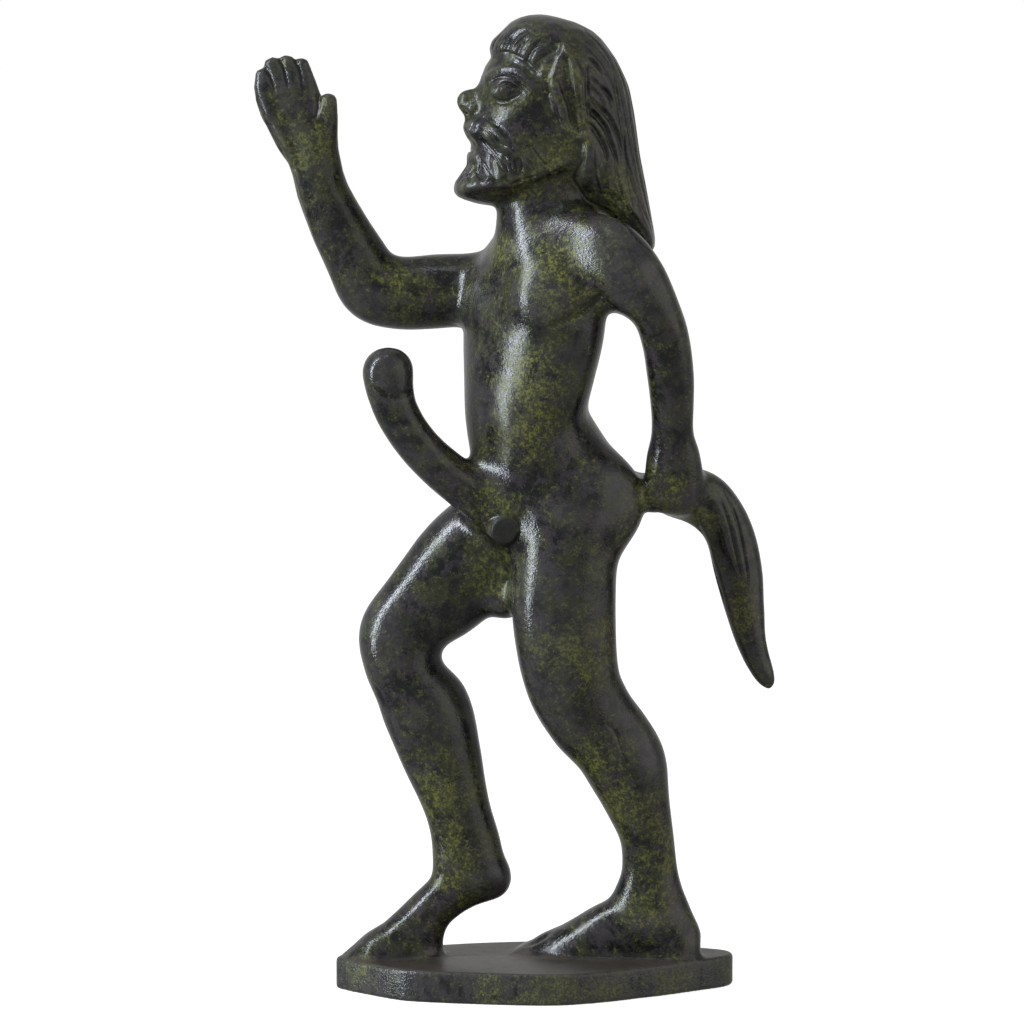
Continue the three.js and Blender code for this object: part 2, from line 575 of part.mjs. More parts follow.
// Joins facets, the flattest first, until only the wanted number is left. Points that are
// kept stay where they are; weigh says how much a facet's form counts.
function coarsen({ points, faces }, wanted, kept, weigh) {
  const count = points.length / 3;
  const P = Float64Array.from(points);
  const F = Int32Array.from(faces);
  const Q = new Float64Array(count * 10);
  const fans = Array.from({ length: count }, () => []);
  const stamp = new Int32Array(count);
  const fixed = Uint8Array.from({ length: count }, (_, i) => (kept(P[3 * i], P[3 * i + 1], P[3 * i + 2]) ? 1 : 0));
  const n = [0, 0, 0];
  const normal = (f, moved, to) => {
    const at = (i, k) => (F[f + i] === moved ? to[k] : P[3 * F[f + i] + k]);
    const ux = at(1, 0) - at(0, 0);
    const uy = at(1, 1) - at(0, 1);
    const uz = at(1, 2) - at(0, 2);
    const vx = at(2, 0) - at(0, 0);
    const vy = at(2, 1) - at(0, 1);
    const vz = at(2, 2) - at(0, 2);
    n[0] = uy * vz - uz * vy;
    n[1] = uz * vx - ux * vz;
    n[2] = ux * vy - uy * vx;
    const longest = Math.max(ux * ux + uy * uy + uz * uz, vx * vx + vy * vy + vz * vz,
      (ux - vx) ** 2 + (uy - vy) ** 2 + (uz - vz) ** 2);
    const area = Math.sqrt(n[0] * n[0] + n[1] * n[1] + n[2] * n[2]) || 1e-12;
    for (let i = 0; i < 3; i++) n[i] /= area;
    return { area, longest };
  };
  for (let f = 0; f < F.length; f += 3) {
    const v = 3 * F[f];
    const k = normal(f, -1).area * weigh(P[v], P[v + 1], P[v + 2]);
    const [x, y, z] = n;
    const w = -(x * P[v] + y * P[v + 1] + z * P[v + 2]);
    const q = [x * x, x * y, x * z, x * w, y * y, y * z, y * w, z * z, z * w, w * w];
    for (let c = 0; c < 3; c++) {
      fans[F[f + c]].push(f);
      for (let i = 0; i < 10; i++) Q[10 * F[f + c] + i] += q[i] * k;
    }
  }
  // Cost of drawing the edge a-b together, and in goal the best place for its point.
  const q = new Float64Array(10);
  const goal = [0, 0, 0];
  const error = (x, y, z) => q[0] * x * x + 2 * q[1] * x * y + 2 * q[2] * x * z + 2 * q[3] * x
    + q[4] * y * y + 2 * q[5] * y * z + 2 * q[6] * y + q[7] * z * z + 2 * q[8] * z + q[9];
  const plan = (a, b) => {
    for (let i = 0; i < 10; i++) q[i] = Q[10 * a + i] + Q[10 * b + i];
    const [ax, ay, az] = [P[3 * a], P[3 * a + 1], P[3 * a + 2]];
    const [bx, by, bz] = [P[3 * b], P[3 * b + 1], P[3 * b + 2]];
    const span = (ax - bx) ** 2 + (ay - by) ** 2 + (az - bz) ** 2;
    const take = (x, y, z) => {
      goal[0] = x;
      goal[1] = y;
      goal[2] = z;
      return error(x, y, z) + 1e-6 * span;
    };
    if (fixed[a]) return take(ax, ay, az);
    if (fixed[b]) return take(bx, by, bz);
    const det = q[0] * (q[4] * q[7] - q[5] * q[5]) - q[1] * (q[1] * q[7] - q[5] * q[2])
      + q[2] * (q[1] * q[5] - q[4] * q[2]);
    if (Math.abs(det) > 1e-5 * (q[0] + q[4] + q[7]) ** 3) {
      const [r, s, t] = [-q[3], -q[6], -q[8]];
      const x = (r * (q[4] * q[7] - q[5] * q[5]) - q[1] * (s * q[7] - q[5] * t)
        + q[2] * (s * q[5] - q[4] * t)) / det;
      const y = (q[0] * (s * q[7] - q[5] * t) - r * (q[1] * q[7] - q[5] * q[2])
        + q[2] * (q[1] * t - s * q[2])) / det;
      const z = (q[0] * (q[4] * t - s * q[5]) - q[1] * (q[1] * t - s * q[2])
        + r * (q[1] * q[5] - q[4] * q[2])) / det;
      const away = (x - (ax + bx) / 2) ** 2 + (y - (ay + by) / 2) ** 2 + (z - (az + bz) / 2) ** 2;
      if (away < span) return take(x, y, z);
    }
    const ends = [[ax, ay, az], [bx, by, bz], [(ax + bx) / 2, (ay + by) / 2, (az + bz) / 2]];
    const costs = ends.map((p) => error(...p));
    return take(...ends[costs.indexOf(Math.min(...costs))]);
  };
  const heap = [];
  const push = (a, b) => {
    if (fixed[a] && fixed[b]) return;
    const e = { cost: plan(a, b), a, b, mark: stamp[a] + stamp[b] };
    let i = heap.push(e) - 1;
    while (i > 0 && heap[(i - 1) >> 1].cost > e.cost) {
      heap[i] = heap[(i - 1) >> 1];
      i = (i - 1) >> 1;
    }
    heap[i] = e;
  };
  const pop = () => {
    const top = heap[0];
    const e = heap.pop();
    let i = 0;
    for (let c = 1; c < heap.length; c = 2 * i + 1) {
      if (c + 1 < heap.length && heap[c + 1].cost < heap[c].cost) c++;
      if (heap[c].cost >= e.cost) break;
      heap[i] = heap[c];
      i = c;
    }
    if (heap.length) heap[i] = e;
    return top;
  };
  const met = new Int32Array(count);
  let round = 0;
  const around = (v) => {
    const list = [];
    round++;
    for (const f of fans[v]) {
      for (let i = 0; i < 3; i++) {
        const m = F[f + i];
        if (m !== v && met[m] !== round) {
          met[m] = round;
          list.push(m);
        }
      }
    }
    return list;
  };
  const has = (f, v) => F[f] === v || F[f + 1] === v || F[f + 2] === v;
  // No facet round v may turn over or shrink to a sliver when v moves.
  const holds = (v, other, to) => {
    for (const f of fans[v]) {
      if (has(f, other)) continue;
      normal(f, -1);
      const [x, y, z] = n;
      const { area, longest } = normal(f, v, to);
      if (n[0] * x + n[1] * y + n[2] * z < 0.3 || area < 0.02 * longest) return false;
    }
    return true;
  };
  for (let f = 0; f < F.length; f += 3) {
    for (let i = 0; i < 3; i++) {
      const a = F[f + i];
      const b = F[f + ((i + 1) % 3)];
      if (a < b) push(a, b);
    }
  }
  const gone = new Uint8Array(count);
  let left = F.length / 3;
  while (left > wanted && heap.length) {
    const { a, b, mark } = pop();
    if (gone[a] || gone[b] || mark !== stamp[a] + stamp[b]) continue;
    plan(a, b);
    const to = goal.slice();
    const beside = around(a);
    around(b);
    const shared = beside.filter((v) => met[v] === round);
    if (shared.length !== 2 || !holds(a, b, to) || !holds(b, a, to)) continue;
    P.set(to, 3 * a);
    fixed[a] |= fixed[b];
    for (let i = 0; i < 10; i++) Q[10 * a + i] += Q[10 * b + i];
    gone[b] = 1;
    for (const v of shared) fans[v] = fans[v].filter((f) => !(has(f, a) && has(f, b)));
    const dead = fans[b].filter((f) => has(f, a));
    fans[a] = [...fans[a].filter((f) => !has(f, b)), ...fans[b].filter((f) => !has(f, a))];
    fans[b] = [];
    for (const f of dead) F[f] = -1;
    for (const f of fans[a]) for (let i = 0; i < 3; i++) if (F[f + i] === b) F[f + i] = a;
    left -= 2;
    stamp[a]++;
    for (const v of around(a)) push(a, v);
  }
  const index = [];
  for (let f = 0; f < F.length; f += 3) if (F[f] >= 0) index.push(F[f], F[f + 1], F[f + 2]);
  return { points: Array.from(P), faces: index };
}

const wasm = await Module();
wasm.setup();
const toSolid = ({ points, faces }) => new wasm.Manifold(new wasm.Mesh({
  numProp: 3, vertProperties: Float32Array.from(points), triVerts: Uint32Array.from(faces),
}));

// Slab with its edges taken off, its underside flat on the ground.
function plinth() {
  const { height, edge } = PLINTH;
  const shape = new THREE.Shape(rim.map(([x, y]) => new THREE.Vector2(x, y)));
  const slab = new THREE.ExtrudeGeometry(shape, {
    depth: height - 2 * edge, bevelEnabled: true, bevelSize: edge, bevelOffset: -edge,
    bevelThickness: edge, bevelSegments: 2,
  });
  slab.translate(0, 0, edge - LIFT);
  const at = slab.getAttribute('position');
  const points = [];
  const faces = [];
  const seen = new Map();
  for (let i = 0; i < at.count; i++) {
    const p = [at.getX(i), at.getY(i), at.getZ(i)];
    const key = p.map((v) => Math.round(v * 1e4)).join();
    if (!seen.has(key)) seen.set(key, points.push(...p) / 3 - 1);
    faces.push(seen.get(key));
  }
  return { points, faces };
}

// Solid metal throughout: of the joined skins only the outer one counts, not a bubble inside it.
const whole = toSolid(skin(onGround(figure()), GRAIN)).add(toSolid(plinth())).decompose()
  .reduce((a, b) => (a.volume() > b.volume() ? a : b)).getMesh();
const casting = coarsen(
  { points: whole.vertProperties, faces: whole.triVerts },
  FACETS,
  (x, y, z) => z < PLINTH.height - LIFT + 1e-3 && rimEdge(x, y) > -PLINTH.edge - 0.1,
  (x, y, z) => (z > 160 ? 3 : 1),
);

const geometry = new THREE.BufferGeometry();
geometry.setAttribute('position', new THREE.Float32BufferAttribute(casting.points, 3));
geometry.setIndex(casting.faces);
geometry.translate(0, 0, LIFT);
const statuette = new THREE.Mesh(
  geometry.toNonIndexed(),
  new THREE.MeshStandardMaterial({ color: 0x2b2a22, metalness: 0.8, roughness: 0.4 }),
);
statuette.geometry.computeVertexNormals();
statuette.name = 'satyr_statuette';

const group = new THREE.Group();
group.name = 'satyr_statuette_group';
group.add(statuette);
export default group;
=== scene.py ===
# A bronze satyr striding on an oval plinth. The dressed casting stands for the plain solid.
# Lengths are in metres in Blender; the carving is laid out in millimetres and scaled by MM.
import math

import bpy
import numpy as np
from mathutils import Matrix, Vector
from mathutils.bvhtree import BVHTree


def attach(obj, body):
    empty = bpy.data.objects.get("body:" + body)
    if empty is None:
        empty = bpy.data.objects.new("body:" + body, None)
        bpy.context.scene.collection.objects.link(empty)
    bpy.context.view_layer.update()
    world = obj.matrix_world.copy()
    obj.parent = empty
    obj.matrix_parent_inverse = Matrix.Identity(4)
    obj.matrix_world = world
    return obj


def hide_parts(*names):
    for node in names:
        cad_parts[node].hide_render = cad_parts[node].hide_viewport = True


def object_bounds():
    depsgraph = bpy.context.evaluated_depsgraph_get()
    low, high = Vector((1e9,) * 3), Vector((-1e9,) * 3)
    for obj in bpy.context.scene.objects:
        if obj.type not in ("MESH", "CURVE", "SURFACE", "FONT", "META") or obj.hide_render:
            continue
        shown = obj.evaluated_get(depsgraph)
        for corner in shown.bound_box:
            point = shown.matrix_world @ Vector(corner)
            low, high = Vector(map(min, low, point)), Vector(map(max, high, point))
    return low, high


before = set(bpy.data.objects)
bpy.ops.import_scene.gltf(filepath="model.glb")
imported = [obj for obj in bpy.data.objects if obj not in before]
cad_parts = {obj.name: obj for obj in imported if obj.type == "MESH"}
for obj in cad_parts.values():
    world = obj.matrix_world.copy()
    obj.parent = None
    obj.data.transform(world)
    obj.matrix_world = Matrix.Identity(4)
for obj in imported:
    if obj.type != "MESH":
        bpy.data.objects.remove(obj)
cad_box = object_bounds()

MM = 0.001
GRAIN = 0.34      # spacing of the casting's skin, in millimetres
FACETS = 190000                          # triangles left on the finished casting
PLINTH_TOP = 6.5                         # height of the plinth's tread
HEAD_FROM, HEAD_TO = 157, 163            # heights between which the neck becomes the crisp head

# Sides of the figure, as directions on the ground from it.
NEAR, FAR, FRONT, BACK = (0, -1), (0, 1), (-1, 0), (1, 0)


def only(obj):
    """Makes this the only selected object, and the active one."""
    bpy.ops.object.select_all(action="DESELECT")
    obj.select_set(True)
    bpy.context.view_layer.objects.active = obj


def finish_modifiers(obj):
    only(obj)
    for m in list(obj.modifiers):
        bpy.ops.object.modifier_apply(modifier=m.name)


def copy_of_node(name, label):
    """The node's mesh as a piece of its own, its loose facets joined into one skin."""
    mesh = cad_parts[name].data.copy()
    obj = bpy.data.objects.new(label, mesh)
    bpy.context.collection.objects.link(obj)
    mesh.name = label
    mesh.materials.clear()
    only(obj)
    bpy.ops.object.mode_set(mode="EDIT")
    bpy.ops.mesh.select_all(action="SELECT")
    bpy.ops.mesh.remove_doubles(threshold=0.01 * MM)
    bpy.ops.mesh.normals_make_consistent(inside=False)
    bpy.ops.object.mode_set(mode="OBJECT")
    return obj


class Clay:
    """The skin of a piece as arrays in millimetres, to be smoothed and carved."""

    def __init__(self, obj):
        self.mesh = m = obj.data
        co = np.empty(len(m.vertices) * 3, np.float32)
        m.vertices.foreach_get("co", co)
        self.co = co.reshape(-1, 3).astype(np.float64) / MM
        e = np.empty(len(m.edges) * 2, np.int32)
        m.edges.foreach_get("vertices", e)
        self.edges = e.reshape(-1, 2)
        self.degree = np.maximum(np.bincount(self.edges.ravel(), minlength=len(self.co)), 1)

    def write(self):
        self.mesh.vertices.foreach_set("co", (self.co * MM).astype(np.float32).ravel())
        self.mesh.update()

    def around(self, values):
        """Mean of each point's neighbours."""
        a, b = self.edges.T
        n = len(self.degree)
        out = np.empty_like(values)
        cols = values.reshape(n, -1)
        res = out.reshape(n, -1)
        for k in range(cols.shape[1]):
            c = cols[:, k]
            res[:, k] = (np.bincount(a, c[b], n) + np.bincount(b, c[a], n)) / self.degree
        return out

    def normals(self):
        self.write()
        n = np.empty(len(self.co) * 3, np.float32)
        self.mesh.vertices.foreach_get("normal", n)
        return n.reshape(-1, 3).astype(np.float64)

    def seen(self):
        """Ray target for laying strokes on the skin."""
        self.write()
        self.mesh.calc_loop_triangles()
        t = np.empty(len(self.mesh.loop_triangles) * 3, np.int32)
        self.mesh.loop_triangles.foreach_get("vertices", t)
        return BVHTree.FromPolygons(self.co.tolist(), t.reshape(-1, 3).tolist())


def fade(z, low, high):
    """0 below low, rising evenly to 1 above high."""
    return np.clip((z - low) / (high - low), 0, 1)


def ball(co, centre, radius, gain=1):
    """1 at the centre, falling to 0 at the radius. A gain above 1 keeps the 1 further out."""
    d = np.linalg.norm(co - np.array(centre), axis=1) / radius
    return np.minimum(1, gain * np.clip(1 - d * d, 0, 1) ** 2)


def smooth_path(points, count):
    """Points along a smooth curve through the given ones."""
    p = np.array(points, float)
    p = np.vstack([2 * p[0] - p[1], p, 2 * p[-1] - p[-2]])
    out = []
    spans = len(points) - 1
    for i in range(count):
        u = i * spans / (count - 1)
        k = min(int(u), spans - 1)
        t = u - k
        a, b, c, d = p[k], p[k + 1], p[k + 2], p[k + 3]
        out.append(0.5 * (2 * b + (c - a) * t + (2 * a - 5 * b + 4 * c - d) * t * t
                          + (3 * b - a - 3 * c + d) * t ** 3))
    return np.array(out)


def drop(skin, across, z, side):
    """Where a level look from a side meets the skin, or None. The front look starts behind the hand."""
    reach = 30 if side == FRONT else 60
    start = Vector((across, side[1] * reach, z) if side[1] else (side[0] * reach, across, z))
    hit = skin.ray_cast(start, Vector((-side[0], -side[1], 0)))[0]
    return None if hit is None else np.array(hit)


def places(skin, spots, side=NEAR):
    """Points of the skin under spots given as across, up and radius, seen from one side."""
    found = [(drop(skin, across, z, side), radius) for across, z, radius in spots]
    return [(at, radius) for at, radius in found if at is not None]


class Carver:
    """Grooves and ridges laid along paths on the skin. Overlapping strokes don't add up."""

    THIN_END = 0.35     # width of a stroke's tapered end, as a share of its full width

    def __init__(self, clay):
        self.clay = clay
        self.skin = clay.seen()
        self.cut = np.zeros(len(clay.co))
        self.rise = np.zeros(len(clay.co))
        self.order = np.argsort(clay.co[:, 2])
        self.levels = clay.co[self.order, 2]

    def lay(self, path, side):
        """Path of points, across and up, dropped on the side named."""
        points = [drop(self.skin, across, z, side) for across, z in smooth_path(path, 4 * len(path) + 6)]
        return np.array([p for p in points if p is not None])

    def stroke(self, points, width, depth, tapers):
        """Depth is how far the line is cut in, or raised if negative."""
        if len(points) < 2:
            return
        lo, hi = points.min(0) - width, points.max(0) + width
        i0, i1 = np.searchsorted(self.levels, [lo[2], hi[2]])
        idx = self.order[i0:i1]
        c = self.clay.co[idx]
        near = np.all((c > lo) & (c < hi), axis=1)
        idx, c = idx[near], c[near]
        a, b = points[:-1], points[1:]
        ab = b - a
        long = np.maximum((ab ** 2).sum(1), 1e-9)
        best = np.full(len(c), 1e9)
        where = np.zeros(len(c))
        for k in range(len(a)):
            t = np.clip(((c - a[k]) @ ab[k]) / long[k], 0, 1)
            d = ((c - a[k] - t[:, None] * ab[k]) ** 2).sum(1)
            m = d < best
            best[m] = d[m]
            where[m] = (k + t[m]) / len(a)
        form = np.ones(len(c))
        for taper, along in zip(tapers, (where, 1 - where)):
            if taper:
                form *= np.clip(along / taper, 0.02, 1) ** 0.7
        w = width * (self.THIN_END + (1 - self.THIN_END) * form)
        amount = abs(depth) * form * np.clip(1 - (np.sqrt(best) / w) ** 2, 0, 1)
        deepest = self.cut if depth > 0 else self.rise
        deepest[idx] = np.maximum(deepest[idx], amount)

    def engrave(self, groups, side):
        for width, depth, tapers, paths in groups:
            for path in paths:
                self.stroke(self.lay(path, side), width, depth, tapers)

    def apply(self):
        self.clay.co += self.clay.normals() * (self.rise - self.cut)[:, None]
        self.clay.write()


def weigh(obj, weight):
    """Stores weights from 0 to 1 as a vertex group, in even steps."""
    steps = 40
    group = obj.vertex_groups.new(name="soft")
    level = np.rint(weight * steps).astype(int)
    for k in np.unique(level):
        if k > 0:
            group.add(np.flatnonzero(level == k).tolist(), float(k) / steps, "REPLACE")
    return group


def relax(obj, group, passes):
    m = obj.modifiers.new("relax", "SMOOTH")
    m.factor = 1.0
    m.iterations = passes
    m.vertex_group = group.name
    finish_modifiers(obj)


def soften(obj, weight, passes):
    """Dissolves facets. What the first smoothing takes off a limb is given back smoothed."""
    group = weigh(obj, weight)
    before = Clay(obj).co
    relax(obj, group, passes)
    clay = Clay(obj)
    once = clay.co.copy()
    clay.co = before - once
    clay.write()
    relax(obj, group, passes)
    clay = Clay(obj)
    clay.co += once
    clay.write()
    obj.vertex_groups.clear()


def fill(obj, spots, passes, side=NEAR, both=False):
    """Fills creases at the spots: the skin may only move outwards, or both ways if asked."""
    share = 0.6     # of the way to the mean of its neighbours that a point goes in one pass
    clay = Clay(obj)
    weight = np.zeros(len(clay.co))
    for centre, radius in places(clay.seen(), spots, side):
        weight = np.maximum(weight, ball(clay.co, centre, radius, 1.8))
    n = clay.normals()
    near = weight > 0.01
    e = clay.edges[near[clay.edges[:, 0]] | near[clay.edges[:, 1]]]
    own, inverse = np.unique(e.ravel(), return_inverse=True)
    a, b = inverse.reshape(-1, 2).T
    co, w, n = clay.co[own], weight[own], n[own]
    w[~near[own]] = 0
    size = len(own)
    count = np.maximum(np.bincount(a, minlength=size) + np.bincount(b, minlength=size), 1)
    for _ in range(passes):
        pull = np.stack([(np.bincount(a, co[b, k], size) + np.bincount(b, co[a, k], size)) / count
                         for k in range(3)], 1) - co
        out = (pull * n).sum(1) > 0
        co += share * (w * (out | both))[:, None] * pull
    clay.co[own] = co
    clay.write()


# Fingers, toes and the like: centre, radius and how much crispness is kept.
FINE_PLACES = [
    ((-50, 12, 187), 17, 0.93), ((27, -7, 102), 12, 0.8), ((-33, 6, 9), 9, 0.85), ((3, 7, 9), 9, 0.85),
    ((-5, -8, 97), 9, 0.75), ((-28, 0, 126), 12, 0.7), ((-8, 0, 80), 8, 0.5),
]
BODY_SOFT = 2.1           # reach of the smoothing on the body
HEAD_CRISP = 0.93         # share of the smoothing that the head is spared
LEAST_SOFT = 0.03         # share of the smoothing that is done everywhere


def casting():
    """The solid's form as one dense skin, its facets smoothed away."""
    obj = copy_of_node("satyr_statuette", "satyr_casting")
    m = obj.modifiers.new("skin", "REMESH")
    m.mode = "VOXEL"
    m.voxel_size = GRAIN * MM
    m.use_smooth_shade = True
    finish_modifiers(obj)
    clay = Clay(obj)
    z = clay.co[:, 2]
    body = fade(z, PLINTH_TOP + 0.4, PLINTH_TOP + 3) * (1 - HEAD_CRISP * fade(z, HEAD_FROM, HEAD_TO))
    for centre, radius, keep in FINE_PLACES:
        body *= 1 - keep * ball(clay.co, centre, radius, 2.2)
    soften(obj, np.maximum(body, LEAST_SOFT), int(BODY_SOFT ** 2 / (0.25 * GRAIN ** 2)))
    return obj


# Strokes in groups of width, depth, the shares of the path that taper at its start and its end,
# and the paths. A negative depth is a raised line. Those of the head and body are (x, z) points
# on a flank.
HAIR = [
    (0.55, 0.3, (0.2, 0.2), [
        [(-9.9, 192.9), (-8.4, 193), (-6.1, 192.7), (-4.7, 192), (-3.3, 191.2), (-2.2, 190.2),
         (-1.2, 189.1), (0.1, 188.2)]]),
    (0.5, -0.15, (0.2, 0.2), [[(-5.6, 191.7), (-4.1, 191), (-2.9, 190.2), (-1.9, 189.2), (-0.9, 187.8)]]),
    (0.5, 0.17, (0.2, 0.5), [
        [(-5.6, 192.9), (-4.9, 194.3), (-3.4, 195.7), (-2, 196.6), (-0.5, 197.2)],
        [(-3.7, 192.3), (-3.3, 193.7), (-2.2, 195), (-0.9, 195.7), (0.4, 196.6)],
        [(-2.6, 191.6), (-2, 192.9), (-0.9, 193.7), (0.5, 194.3), (1.9, 195.2)],
        [(-1.3, 190), (-0.8, 191.2), (0.1, 192), (1.5, 192.6), (2.9, 193.4)]]),
    (0.6, 0.2, (0.3, 0.3), [[(-3.6, 194.5), (-2.9, 195.1), (-2, 195.5)]]),
    (0.8, 0.8, (0.3, 0.4), [
        [(9.5, 192), (10.4, 191.3), (11.5, 190.2), (12.6, 189), (13.6, 188.3)],
        [(9.7, 188.3), (10.7, 187.4), (11.8, 186.2), (12.9, 185.1), (13.9, 184), (14.6, 182.7)],
        [(9, 184.8), (10.1, 183.4), (11.5, 182), (12.9, 180.6), (14.1, 179.2), (14.9, 177.4)],
        [(9.7, 181.5), (10.4, 180.6), (11.2, 179.8), (12.1, 178.9)],
        [(9.9, 181.3), (11.6, 179.4), (13.2, 177.4), (14, 175), (14.9, 172.6), (15.7, 169.8)],
        [(12.4, 181.3), (14, 179.7), (15.1, 177.4), (16.1, 174.9), (16.7, 172.1)],
        [(8.9, 179.2), (10.5, 177.6), (12, 175.5), (13, 173.2), (13.2, 170.9)]]),
    (0.6, 0.3, (0.2, 0.2), [
        [(8.9, 175), (8.6, 171.7), (7.4, 168.8), (7, 167.1), (8.4, 165), (9.7, 162.9), (12.1, 161.9),
         (14.4, 160.9), (16.7, 158.2), (19, 155.1), (22, 152.4)]]),
    (0.55, 0.3, (0.3, 0.3), [
        [(9.2, 197.2), (12.8, 193.6), (15.5, 188.6), (17.3, 181.8), (18.7, 173.6), (20.5, 162.5)],
        [(17, 177.5), (17.4, 172), (18.2, 166), (19.4, 160)],
        [(10.6, 173.6), (10.9, 170.2), (11.6, 166.6), (13, 163.4)],
        [(15.1, 171.2), (15.4, 168), (16.4, 164.6), (18, 161.2)]]),
    (0.7, 0.35, (0.3, 0.3), [
        [(14, 165.4), (16.1, 163.2), (18.3, 160.5), (20.2, 158.2), (22, 155.7), (22.9, 152.8)]]),
]
FACE = [
    (0.9, -0.12, (0.3, 0.4), [
        [(-9.6, 188.6), (-8, 189.3), (-6.2, 189.3), (-4.6, 188.9), (-3.2, 187.8), (-1.9, 186.2)]]),
    (0.45, 0.25, (0.2, 0.3), [
        [(-9.9, 186.6), (-8.8, 187.6), (-7.2, 187.9), (-5.9, 187.6), (-4.7, 186.8), (-3.5, 185.8),
         (-2.2, 184.7)]]),
    (0.42, 0.3, (0.3, 0.3), [
        [(-9.7, 184.4), (-9, 185.8), (-8, 186.5), (-7, 186.7), (-5.9, 186.4), (-4.7, 185.5), (-3.4, 184.5)],
        [(-9.7, 184.3), (-8.8, 183.5), (-7.8, 183.1), (-6.7, 183.2), (-5.6, 183.7), (-3.9, 184.5)]]),
    (0.35, -0.12, (0.3, 0.3), [
        [(-9.8, 185.6), (-8.8, 186.9), (-7.1, 187.2), (-5.8, 186.9), (-4.4, 186), (-3, 184.9)],
        [(-9.2, 183), (-8, 182.5), (-6.7, 182.6), (-5.3, 183.2)]]),
    (0.3, 0.1, (0, 0), [
        [(-8.3, 185), (-8, 185.9), (-7.1, 186.2), (-6.3, 185.7), (-6.1, 184.9), (-6.5, 184.1),
         (-7.3, 183.9), (-8, 184.3), (-8.3, 185)]]),
    (0.6, 0.28, (0.1, 0.4), [
        [(-11.2, 179.9), (-9.7, 178.8), (-8.2, 177.8), (-6.8, 176.2), (-6.2, 174.8), (-5, 173.4),
         (-3.5, 172)]]),
    (0.4, 0.22, (0.2, 0.4), [
        [(-13.1, 177.6), (-11.6, 177.2), (-10.2, 176), (-9, 174.2), (-7.5, 172.6)],
        [(-11.3, 177.9), (-9.6, 176.6), (-8.4, 174.8), (-6.9, 173.9)],
        [(-8.7, 177.4), (-7.2, 175.8), (-6.3, 174.2), (-5.3, 172.8), (-3.6, 171.2)],
        [(-13.4, 176.3), (-11.9, 176), (-10.8, 174.5), (-9.6, 173), (-8.7, 172), (-7.8, 170.9)]]),
    (0.38, 0.22, (0.3, 0.4), [
        [(-11.3, 173.6), (-9.9, 172.5), (-8.8, 171), (-7.9, 169.5), (-6.7, 168.2)],
        [(-8, 171), (-7.1, 169.8), (-6.2, 168.3)],
        [(-6.6, 173.1), (-6.2, 171.3), (-6, 169.5), (-5.9, 168.3)],
        [(-5.9, 172.5), (-5.3, 171), (-5, 169.5), (-5, 168.6)],
        [(-5, 172.2), (-4.1, 171), (-3.9, 169.5), (-4.1, 168.5)],
        [(-3.3, 171.9), (-2.6, 171), (-1.7, 169.8), (-0.7, 168.6)],
        [(-12.6, 172.2), (-11.6, 171), (-10.6, 169.4), (-9.6, 168.2)],
        [(-13.4, 170.6), (-12.8, 169), (-12, 167.6), (-11, 166.8)],
        [(-14.6, 169.2), (-14.3, 167.6), (-13.6, 166.2)]]),
    (0.5, 0.25, (0.2, 0.3), [[(-2, 174.1), (-1, 172.8), (-0.1, 171.6), (1.4, 170.1), (3.8, 168.4)]]),
    (0.6, 0.25, (0.2, 0.2), [
        [(-11.7, 166.1), (-10, 167.3), (-8.5, 166.8), (-7.3, 167.6), (-6.1, 166.4), (-4.9, 166.8),
         (-2.8, 167.6), (-0.6, 168.1)]]),
]
EAR = [
    (0.45, -0.25, (0.2, 0.2), [
        [(4.3, 194.6), (4.9, 193.2), (5.6, 191.6), (6, 190.2), (6.3, 188.1), (6.6, 186), (6.8, 184.3),
         (7.4, 182.4)]]),
    (1.2, -0.8, (0.2, 0.3), [
        [(1.6, 187.6), (2.2, 186.6), (2.9, 185.2), (3.7, 183.4), (4.3, 181.7), (5, 179.6), (6.1, 177.4)]]),
    (0.6, 0.4, (0.3, 0.3), [
        [(0.4, 187.6), (1.1, 185.8), (1.9, 183.8), (2.6, 181.9), (3.3, 179.8), (4.2, 177.8)]]),
    (0.6, -0.45, (0.3, 0.3), [
        [(8.3, 189.8), (8.3, 188.4), (8.1, 186.8), (8.1, 185.3), (8.2, 183.6), (8.5, 181.6), (8.7, 179.6),
         (8.8, 177.4)]]),
    (0.55, 0.35, (0.3, 0.3), [[(9.3, 190.6), (9.2, 187), (9.3, 183), (9.7, 179)]]),
]

# Strokes seen from the front and from the back, as (y, z) points; the front ones are mirrored too.
MASK = [
    (0.5, 0.28, (0.2, 0.2), [[(-4.2, 172.3), (-2.2, 172.8), (0, 173), (2.2, 172.8), (4.2, 172.3)]]),
    (0.5, 0.22, (0.2, 0.3), [[(0, 178.6), (0, 176.6), (0, 174.6)]]),
    (0.45, 0.22, (0.2, 0.4), [
        [(-1.2, 177.8), (-2.8, 176.4), (-4.8, 174.8)], [(-1, 176.2), (-2.6, 175), (-4.8, 173.6)],
        [(-1, 171.4), (-1.1, 169), (-0.9, 166.4)], [(-2.8, 171.4), (-2.9, 169), (-2.4, 166.2)],
        [(-4.6, 171.2), (-4.7, 168.8), (-4, 166)], [(-6.4, 170.8), (-6.4, 168.6), (-5.6, 166.2)]]),
    (0.55, 0.35, (0.3, 0.3), [[(-2, 180.6), (-1.1, 180.3)]]),
    (0.5, 0.2, (0.2, 0.5), [
        [(-0.9, 193.2), (-0.8, 195), (-0.6, 196.8)], [(-2.9, 193.2), (-2.6, 195), (-2, 196.8)],
        [(-4.9, 193.2), (-4.5, 195), (-3.6, 196.6)], [(-6.9, 193.1), (-6.3, 194.8), (-5.2, 196.2)]]),
]
MASK_MIRRORED = [(width, depth, tapers, [[(-y, z) for y, z in path] for path in paths])
                 for width, depth, tapers, paths in MASK]
